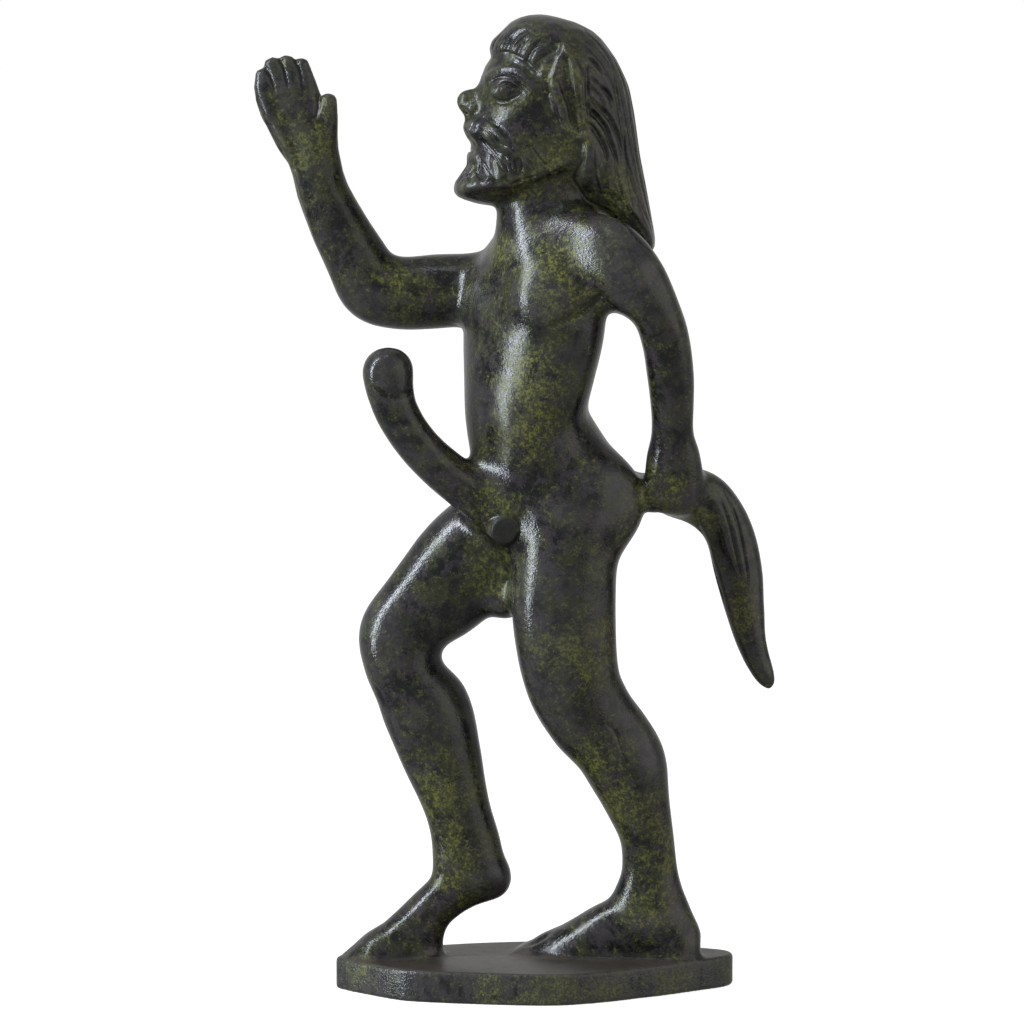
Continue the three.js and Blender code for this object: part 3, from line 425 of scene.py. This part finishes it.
NAPE = [
    (0.65, 0.3, (0.2, 0.3), [
        [(y * 0.7, 193), (y, 184), (y * 1.03, 174), (y * 0.95, 164), (y * 0.6, 155.5)]
        for y in (-8.2, -5.6, -2.9, -0.2, 2.6, 5.3, 8)]),
]

# Spots on a flank, as (x, z, radius).
CREASES = [
    (-13.3, 111.4, 5), (-10.5, 107.3, 6), (-8.1, 103.6, 6), (-11.6, 96.5, 6), (-9.1, 90, 7),
    (-7.9, 83.4, 6), (-17.6, 100.1, 4), (-13.9, 97.2, 5), (-14.8, 151.6, 4), (-15.2, 145.5, 5),
    (-15.2, 139.3, 4),
    (21.5, 103.2, 4), (31.1, 106.2, 5), (32.4, 101, 5), (30, 98, 5), (26, 97, 4), (33, 108, 6),
    (31, 109, 6), (10.7, 161.5, 4), (13.2, 160.5, 4), (12, 161.3, 6),
]
TAIL_ROOT = [(33.5, 108.5, 8), (32, 110, 7), (34.5, 107, 6)]
GROIN = [(-5.8, 91, 5), (-5.8, 86, 5), (-6, 81, 5)]
FIST = [(24, 104, 6), (27, 102, 7)]
TIP = [(-28, 126, 8), (-25, 123, 6), (-29, 122, 6)]
FINGERS = [(-55.2, 187.1, 5), (-52.6, 188.1, 5), (-49.5, 189.1, 5), (-46.5, 187.1, 5), (-44.2, 180.5, 4)]
BELLY = [(-12.5, 110, 12), (-12.5, 116, 10)]
SOCKETS = [(-12.6, 184.8, 3.6), (-11.4, 183.2, 3.6), (-11.2, 186, 3), (-12.8, 182.4, 3), (-7, 185, 5.5),
           (-9, 184.4, 4)]
EYES = [(-7.1, 185, 3.0)]
EAR_BOWL = [(4.6, 188, 3.6), (5, 184.5, 4)]
GATE = [(-7.5, 96.2, 3)]

BODY = [
    (1.3, 0.4, (0.15, 0.4), [[(12, 145), (9.2, 142.4), (6.6, 140.6), (3.5, 139.2), (0.5, 137.8)]]),
    (0.5, 0.16, (0.3, 0.3), [[(13.1, 56.9), (15.2, 55), (16.8, 50.6), (20.1, 43.2)]]),
    (1.9, 0.75, (0.3, 0.3), [
        [(33.9, 104.1), (35.8, 97.6), (37.3, 91.4), (40, 85.2), (41.9, 76.9), (44.2, 71.1)]]),
    (0.5, 0.3, (0.3, 0.3), [
        [(36, 105), (38.8, 98), (40.6, 91), (42, 84.6), (43.6, 77), (45.2, 70)],
        [(38, 104.4), (40.6, 98.4), (42.2, 91.6), (43.4, 84.4)],
        [(32, 99), (34.6, 92.4), (36.8, 86), (39, 79.6)]]),
    (0.7, 0.4, (0.05, 0.4), [
        [(-55.2, 191.2), (-54.9, 190.4), (-53.7, 188), (-52.5, 184.7)],
        [(-51.6, 192.4), (-51.4, 191.2), (-50.6, 188.4), (-49.8, 184.7)],
        [(-48.3, 192.2), (-48.2, 191), (-47.4, 188), (-47, 184.3)]]),
    (1.3, -0.4, (0.3, 0.4), [
        [(-56.4, 186.5), (-54.5, 181.5), (-51.7, 176), (-49.2, 170.5), (-47.6, 165.5), (-46, 159.5),
         (-44.2, 153.5)]]),
    (0.7, 0.35, (0.1, 0.4), [[(-43.7, 184.2), (-43.9, 181.5), (-44.7, 179)]]),
    (0.9, 0.35, (0.1, 0.2), [[(-25.2, 125), (-26.8, 124.2), (-29, 123.6), (-31.4, 124), (-33.4, 125.6)]]),
]


def carve_body(obj):
    for spots, passes in ((CREASES, 320), (TAIL_ROOT, 900), (GROIN, 200)):
        fill(obj, spots, passes)
    for spots, passes in ((FIST, 60), (TIP, 90)):
        fill(obj, spots, passes, both=True)
    for side, passes in ((NEAR, 60), (FAR, 25)):
        fill(obj, FINGERS, passes, side)
    clay = Clay(obj)
    press_belly(clay)
    carver = Carver(clay)
    carver.engrave(BODY, NEAR)
    carver.apply()
    flatten_gate(clay)


def press_belly(clay):
    """Takes some roundness off the near side of the belly."""
    press, thick = 1.0, 9
    for centre, radius in places(clay.seen(), BELLY):
        clay.co[:, 1] += press * ball(clay.co, centre, radius) * (clay.co[:, 1] < centre[1] + thick)


def flatten_gate(clay):
    """The cut end of a pouring gate is left on the near side of the groin, flat and round."""
    radius, edge, reach, sunk, thick = 2.9, 0.16, 3.6, 0.1, 5
    at = places(clay.seen(), GATE)[0][0]
    away = np.hypot(clay.co[:, 0] - at[0], clay.co[:, 2] - at[2])
    pick = (away < reach) & (clay.co[:, 1] < at[1] + thick)
    level = at[1] - sunk
    step = 1 / (1 + np.exp((away[pick] - radius) / edge))
    clay.co[pick, 1] += step * (level - clay.co[pick, 1])
    clay.write()


def round_rim(obj):
    """Eases the corners of the plinth's outline by evening out its radius around the ring."""
    slots, passes, least, most = 360, 60, 0.996, 1.006
    clay = Clay(obj)
    x, y, z = clay.co.T
    base = z < PLINTH_TOP + 0.8
    cx, cy = 0.5 * (x[base].max() + x[base].min()), 0.5 * (y[base].max() + y[base].min())
    wide = (x[base].max() - x[base].min()) / (y[base].max() - y[base].min())
    dx, dy = x - cx, (y - cy) * wide
    turn, far = np.arctan2(dy, dx), np.hypot(dx, dy)
    slot = ((turn + np.pi) / (2 * np.pi) * slots).astype(int) % slots
    rim = np.zeros(slots)
    np.maximum.at(rim, slot[base], far[base])
    rim = np.maximum(rim, np.roll(rim, 1))
    even = rim.copy()
    for _ in range(passes):
        even = 0.5 * even + 0.25 * (np.roll(even, 1) + np.roll(even, -1))
    ring = ((turn + np.pi) / (2 * np.pi) * slots - 0.5) % slots
    ratio = np.interp(ring, np.arange(slots + 1), np.append(even / rim, even[0] / rim[0]))
    edge = np.interp(ring, np.arange(slots + 1), np.append(rim, rim[0]))
    pull = np.clip((far / edge - 0.8) / 0.15, 0, 1) * np.clip((PLINTH_TOP + 0.5 - z) / 0.5, 0, 1)
    grow = 1 + pull * (np.clip(ratio, least, most) - 1)
    for k, centre in ((0, cx), (1, cy)):
        low, high = clay.co[base, k].min(), clay.co[base, k].max()
        moved = centre + (clay.co[:, k] - centre) * grow
        clay.co[:, k] = np.where(pull > 0, np.clip(moved, low, high), clay.co[:, k])
    clay.write()


def carve_head(obj):
    eye_swell = 0.3
    for side in (NEAR, FAR):
        fill(obj, SOCKETS, 260, side)
        fill(obj, EAR_BOWL, 90, side)
    for side in (NEAR, FAR):
        clay = Clay(obj)
        n = clay.normals()
        for centre, radius in places(clay.seen(), EYES, side):
            clay.co += eye_swell * n * ball(clay.co, centre, radius)[:, None]
        carver = Carver(clay)
        carver.engrave(HAIR + FACE + EAR, side)
        carver.apply()
    carver = Carver(Clay(obj))
    carver.engrave(MASK + MASK_MIRRORED, FRONT)
    carver.engrave(NAPE, BACK)
    carver.apply()


def dense_head(obj):
    """Parts the facets of the head, where the carving is fine."""
    only(obj)
    bpy.ops.object.mode_set(mode="EDIT")
    bpy.ops.mesh.select_all(action="DESELECT")
    bpy.ops.object.mode_set(mode="OBJECT")
    m = obj.data
    co = np.empty(len(m.polygons) * 3, np.float32)
    m.polygons.foreach_get("center", co)
    x, _, z = (co.reshape(-1, 3) / MM).T
    m.polygons.foreach_set("select", (z > 160) & (x > -20) & (x < 18))
    bpy.ops.object.mode_set(mode="EDIT")
    bpy.ops.mesh.select_mode(type="FACE")
    bpy.ops.mesh.subdivide(number_cuts=1, smoothness=0)
    bpy.ops.object.mode_set(mode="OBJECT")


def thin_out(obj):
    m = obj.modifiers.new("thin", "DECIMATE")
    obj.data.calc_loop_triangles()
    m.ratio = min(1.0, FACETS / len(obj.data.loop_triangles))
    finish_modifiers(obj)


def seat(obj):
    """Sets the underside flat on the ground and keeps the skin inside the solid's box."""
    underside = 0.06
    clay = Clay(obj)
    low, high = (np.array(corner) / MM for corner in cad_box)
    clay.co = np.clip(clay.co, low, high)
    clay.co[clay.co[:, 2] < underside, 2] = 0
    clay.write()


# Where verdigris has gathered on the flanks and along the plinth's rim: (x, z, radius).
VERDIGRIS = [
    (-8.5, 160.5, 6), (2.9, 149.7, 9), (6.6, 143.2, 6), (-3, 127.1, 8), (-2.4, 118, 8), (-8, 153.1, 5),
    (14.2, 160.4, 5), (-2.4, 165.6, 4), (2.5, 169.2, 5), (-8.3, 85.6, 7), (-12.1, 100, 6), (23.6, 103.2, 9),
    (42.1, 79, 6), (33.3, 97.6, 6), (-42.1, 181.1, 4), (-45.6, 173.9, 7), (-24.2, 139.8, 6),
    (-28.3, 146.3, 6), (12.3, 49, 7), (17.5, 38.7, 8), (26.3, 30.3, 6), (-16.4, 26.6, 8), (-19.5, 41.3, 8),
    (7.1, 71.8, 9), (22.7, 18.9, 6), (7.7, 178.3, 5), (4, 188.3, 6), (15.8, 164.2, 6),
    (-41.5, 4.5, 5), (-36.4, 3.4, 5), (-9.1, 2, 6), (-3, 1.6, 6), (3.1, 1.5, 6), (27.6, 2.2, 5), (13, 2, 5),
]


def store(obj, name, values):
    a = obj.data.attributes.new(name, "FLOAT", "POINT")
    a.data.foreach_set("value", np.clip(values, 0, 1).astype(np.float32))


def mark(obj):
    """Stores where the skin is hollow, in small grooves and in the broad joints of the limbs, and
    where verdigris, the gate's end and the plinth's tread are. 0.5 is level in the first two."""
    clay = Clay(obj)
    n = clay.normals()
    p = clay.co.copy()
    small_passes, broad_passes, evening_passes = 8, 90, 12
    for i in range(1, broad_passes + 1):
        p = 0.5 * p + 0.5 * clay.around(p)
        if i == small_passes:
            small = ((p - clay.co) * n).sum(1)
    broad = ((p - clay.co) * n).sum(1)
    for _ in range(evening_passes):
        broad = clay.around(broad)
    store(obj, "groove", 0.5 + 3.0 * small)
    store(obj, "hollow", 0.5 + 0.9 * broad)
    green = np.zeros(len(n))
    skin = clay.seen()
    for side in (NEAR, FAR):
        for centre, radius in places(skin, VERDIGRIS, side):
            green = np.maximum(green, ball(clay.co, centre, 1.5 * radius))
    store(obj, "verdigris", green)
    away = np.linalg.norm(clay.co - places(skin, GATE)[0][0], axis=1)
    store(obj, "gate", (3.1 - away) / 0.3)
    z = clay.co[:, 2]
    level = np.clip(n[:, 2] * 4 - 2.6, 0, 1)
    store(obj, "tread", level * (z < PLINTH_TOP + 1.2) * (z > PLINTH_TOP - 0.8))


class Tone:
    """A value that varies over a surface. Arithmetic on it adds Math nodes."""

    def __init__(self, finish, socket):
        self.finish, self.socket = finish, socket

    def _math(self, operation, other):
        return self.finish.node("ShaderNodeMath", dict(operation=operation), self, other)

    def __add__(self, o): return self._math("ADD", o)
    def __radd__(self, o): return self._math("ADD", o)
    def __sub__(self, o): return self._math("SUBTRACT", o)
    def __rsub__(self, o): return (self * -1.0) + o
    def __mul__(self, o): return self._math("MULTIPLY", o)
    def __rmul__(self, o): return self._math("MULTIPLY", o)

    def step(self, low, high):
        """0 below low, 1 above high, softly in between."""
        return self.finish.node("ShaderNodeMapRange", dict(interpolation_type="SMOOTHSTEP"),
                                self, low, high, 0.0, 1.0)


class Finish:
    """A material under construction."""

    def __init__(self, name):
        self.material = bpy.data.materials.new(name)
        self.material.use_nodes = True
        self.tree = self.material.node_tree
        self.tree.nodes.clear()
        self.out = self.tree.nodes.new("ShaderNodeOutputMaterial")
        self.place = self.node("ShaderNodeTexCoord", {}, out="Object")

    def feed(self, node, key, value):
        """Links a tone to an input, or sets a number or a colour on it."""
        s = node.inputs[key.replace("_", " ") if isinstance(key, str) else key]
        if isinstance(value, Tone):
            self.tree.links.new(value.socket, s)
        elif s.type == "RGBA":
            s.default_value = (*value, 1.0)
        else:
            s.default_value = value

    def node(self, kind, settings, *values, out=0, **named):
        n = self.tree.nodes.new(kind)
        for k, v in settings.items():
            setattr(n, k, v)
        for key, v in [*enumerate(values), *named.items()]:
            self.feed(n, key, v)
        return Tone(self, n.outputs[out])

    def noise(self, scale, detail=2.0, rough=0.5, warp=0.0):
        return self.node("ShaderNodeTexNoise", dict(noise_dimensions="3D"), Vector=self.place, Scale=scale,
                         Detail=detail, Roughness=rough, Distortion=warp)

    def mix(self, factor, a, b):
        """Colour a where the factor is 0, and b where it is 1. The sockets go by number."""
        n = self.tree.nodes.new("ShaderNodeMix")
        n.data_type = "RGBA"
        for key, v in ((0, factor), (6, a), (7, b)):
            self.feed(n, key, v)
        return Tone(self, n.outputs[2])

    def surface(self, **sockets):
        shine = self.node("ShaderNodeBsdfPrincipled", {}, **sockets)
        self.tree.links.new(shine.socket, self.out.inputs[0])
        return self.material


def bronze():
    """Near-black and purple-grey bronze under an olive film, with yellow-green verdigris specks."""
    f = Finish("patinated_bronze")
    groove, hollow, green, tread, gate = (
        f.node("ShaderNodeAttribute", dict(attribute_name=name), out="Fac")
        for name in ("groove", "hollow", "verdigris", "tread", "gate"))
    height = f.node("ShaderNodeSeparateXYZ", {}, f.place, out="Z")
    head, rim = height.step(0.157, 0.168), 1.0 - height.step(0.0056, 0.0066)
    broad = f.noise(40, 2, 0.5, 0.3)
    cloud = f.noise(210, 9, 0.78, 0.3)
    stain = f.noise(300, 8, 0.78, 0.2)
    blotch = f.noise(1000, 6, 0.75, 0.2)
    pores = f.noise(1200, 1, 0.5)
    speck = f.noise(2400, 3, 0.7)
    grain = f.noise(2600, 1, 0.5)
    lumps = f.noise(360, 2, 0.5)

    sunk = (hollow - 0.5).step(0.02, 0.4)
    ridge = (0.5 - groove).step(0.04, 0.3)
    pit = (groove - 0.5).step(0.03, 0.35)
    shade = f.noise(95, 5, 0.6, 0.4)
    spread = cloud + 0.14 * (broad - 0.5) + 0.085 * green + 0.02 * sunk - 0.04 * tread + 0.02 * head
    film = spread.step(0.455, 0.60)
    crumbs = (blotch + 0.5 * (spread - 0.5) + 0.05 * green).step(0.535, 0.675) * speck.step(0.3, 0.62)

    near_black, purple_grey = (0.005, 0.006, 0.008), (0.054, 0.044, 0.052)
    olive, yellow_green, soot = (0.060, 0.066, 0.024), (0.25, 0.255, 0.040), (0.008, 0.008, 0.008)
    dusk, worn, groove_dark = (0.010, 0.011, 0.012), (0.11, 0.105, 0.105), (0.008, 0.009, 0.007)
    brown, cut_metal = (0.085, 0.068, 0.055), (0.012, 0.012, 0.013)
    colour = f.mix(stain.step(0.44, 0.56), near_black, purple_grey)
    colour = f.mix(film * 0.75, colour, olive)
    colour = f.mix(crumbs * (0.5 + 0.3 * green), colour, yellow_green)
    colour = f.mix((1.0 - speck.step(0.36, 0.5)) * 0.55, colour, soot)
    colour = f.mix(shade.step(0.5, 0.62) * (0.45 - 0.35 * green), colour, dusk)
    colour = f.mix(ridge * 0.3, colour, worn)
    # Small grooves are painted near-black.
    colour = f.mix(pit * 0.8, colour, groove_dark)
    colour = f.mix(tread * (0.3 + 0.6 * stain), colour, brown)
    colour = f.mix(gate * 0.85, colour, cut_metal)
    rough = (0.21 + 0.05 * film + 0.2 * crumbs + 0.1 * (stain - 0.5) + 0.06 * head + 0.05 * green
             + 0.15 * gate + 0.18 * tread + 0.05 * rim)
    relief = (1.0 + 1.8 * rim) * grain + (0.9 + 1.5 * rim) * pores + (0.9 + 3.0 * head) * lumps
    bump = f.node("ShaderNodeBump", {}, Strength=1.0, Distance=0.00004, Height=relief)
    return f.surface(Base_Color=colour, Roughness=rough, Metallic=0.1, Normal=bump, Specular_IOR_Level=0.6)


def camera():
    """Looks a little down on the near flank, from far off."""
    turn, distance, eye, aim, slide = math.radians(-5), 1.0, 0.1955, 0.09912, -0.0049
    focal_pixels, picture_pixels, sensor = 4909, 1024, 36
    pitch = math.atan((eye - aim) / distance)
    ahead = Vector((-math.sin(turn) * math.cos(pitch), math.cos(turn) * math.cos(pitch), -math.sin(pitch)))
    right = ahead.cross(Vector((0, 0, 1))).normalized()
    up = right.cross(ahead)
    cam = bpy.data.cameras.new("camera")
    cam.lens = sensor * focal_pixels / picture_pixels
    cam.sensor_width = sensor
    cam.clip_start, cam.clip_end = 0.05, 50
    obj = bpy.data.objects.new("camera", cam)
    bpy.context.collection.objects.link(obj)
    m = Matrix((right, up, -ahead)).transposed().to_4x4()
    m.translation = Vector((distance * math.sin(turn), -distance * math.cos(turn), eye)) + right * slide
    obj.matrix_world = m
    bpy.context.scene.camera = obj


# Rectangular lights that look at the figure: name, azimuth, height, distance, width and length,
# power, colour. Azimuth 0 is the camera's side, and 90 the right.
LIGHTS = [
    ("key", -73, 0.6, 1.3, (0.15, 1.9), 27, (0.84, 0.92, 1.0)),
    ("top", -20, 1.5, 0.45, (0.18, 0.18), 0.5, (0.88, 0.94, 1.0)),
    ("fill", 60, 0.5, 1.6, (1.8, 1.8), 6, (1.0, 0.98, 0.95)),
]
FIGURE_MIDDLE = (0, 0, 0.1)
ROOM_FRONT, ROOM_BACK = 0.27, 0.6     # brightness of the room on the camera's side and behind
BACK_FROM = 0.45                      # how far back, from 0 to 1, the room starts to brighten


def softbox(name, azimuth, height, away, size, power, colour):
    light = bpy.data.lights.new(name, "AREA")
    light.shape = "RECTANGLE"
    light.size, light.size_y = size
    light.energy = power
    light.color = colour
    obj = bpy.data.objects.new(name, light)
    bpy.context.collection.objects.link(obj)
    a = math.radians(azimuth)
    at = Vector((away * math.sin(a), -away * math.cos(a), height))
    obj.location = at
    obj.rotation_euler = (Vector(FIGURE_MIDDLE) - at).to_track_quat("-Z", "Y").to_euler()


def pale_floor():
    bpy.ops.mesh.primitive_plane_add(size=60, location=(0, 0, 0))
    floor = bpy.context.object
    floor.name = "floor"
    f = Finish("pale_floor")
    tint = f.mix(f.noise(3), (0.38, 0.38, 0.38), (0.4, 0.4, 0.4))
    floor.data.materials.append(f.surface(
        Base_Color=tint, Roughness=0.9, Specular_IOR_Level=0.05,
        Emission_Color=(1, 1, 1), Emission_Strength=0.90))
    floor.visible_glossy = floor.visible_diffuse = False


def room():
    """A white backdrop for the camera, which lights the figure dimly, and more from behind."""
    world = bpy.data.worlds.new("studio")
    world.use_nodes = True
    bpy.context.scene.world = world
    nodes, links = world.node_tree.nodes, world.node_tree.links
    way = nodes.new("ShaderNodeTexCoord")
    axes = nodes.new("ShaderNodeSeparateXYZ")
    links.new(way.outputs["Generated"], axes.inputs[0])
    depth = nodes.new("ShaderNodeMapRange")
    depth.interpolation_type = "SMOOTHSTEP"
    links.new(axes.outputs["Y"], depth.inputs["Value"])
    for name, value in (("From Min", BACK_FROM), ("From Max", 1.0),
                        ("To Min", ROOM_FRONT), ("To Max", ROOM_BACK)):
        depth.inputs[name].default_value = value
    ray = nodes.new("ShaderNodeLightPath")
    pick = nodes.new("ShaderNodeMix")
    links.new(ray.outputs["Is Camera Ray"], pick.inputs[0])
    links.new(depth.outputs[0], pick.inputs[2])
    pick.inputs[3].default_value = 1.0
    back = nodes["Background"]
    back.inputs["Color"].default_value = (1, 1, 1, 1)
    links.new(pick.outputs[0], back.inputs["Strength"])


camera()
pale_floor()
for light in LIGHTS:
    softbox(*light)
room()
bpy.context.scene.view_settings.view_transform = "Standard"

piece = casting()
carve_body(piece)
round_rim(piece)
dense_head(piece)
carve_head(piece)
thin_out(piece)
seat(piece)
mark(piece)
only(piece)
bpy.ops.object.shade_smooth()
piece.data.materials.append(bronze())
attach(piece, "root")
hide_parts("satyr_statuette")
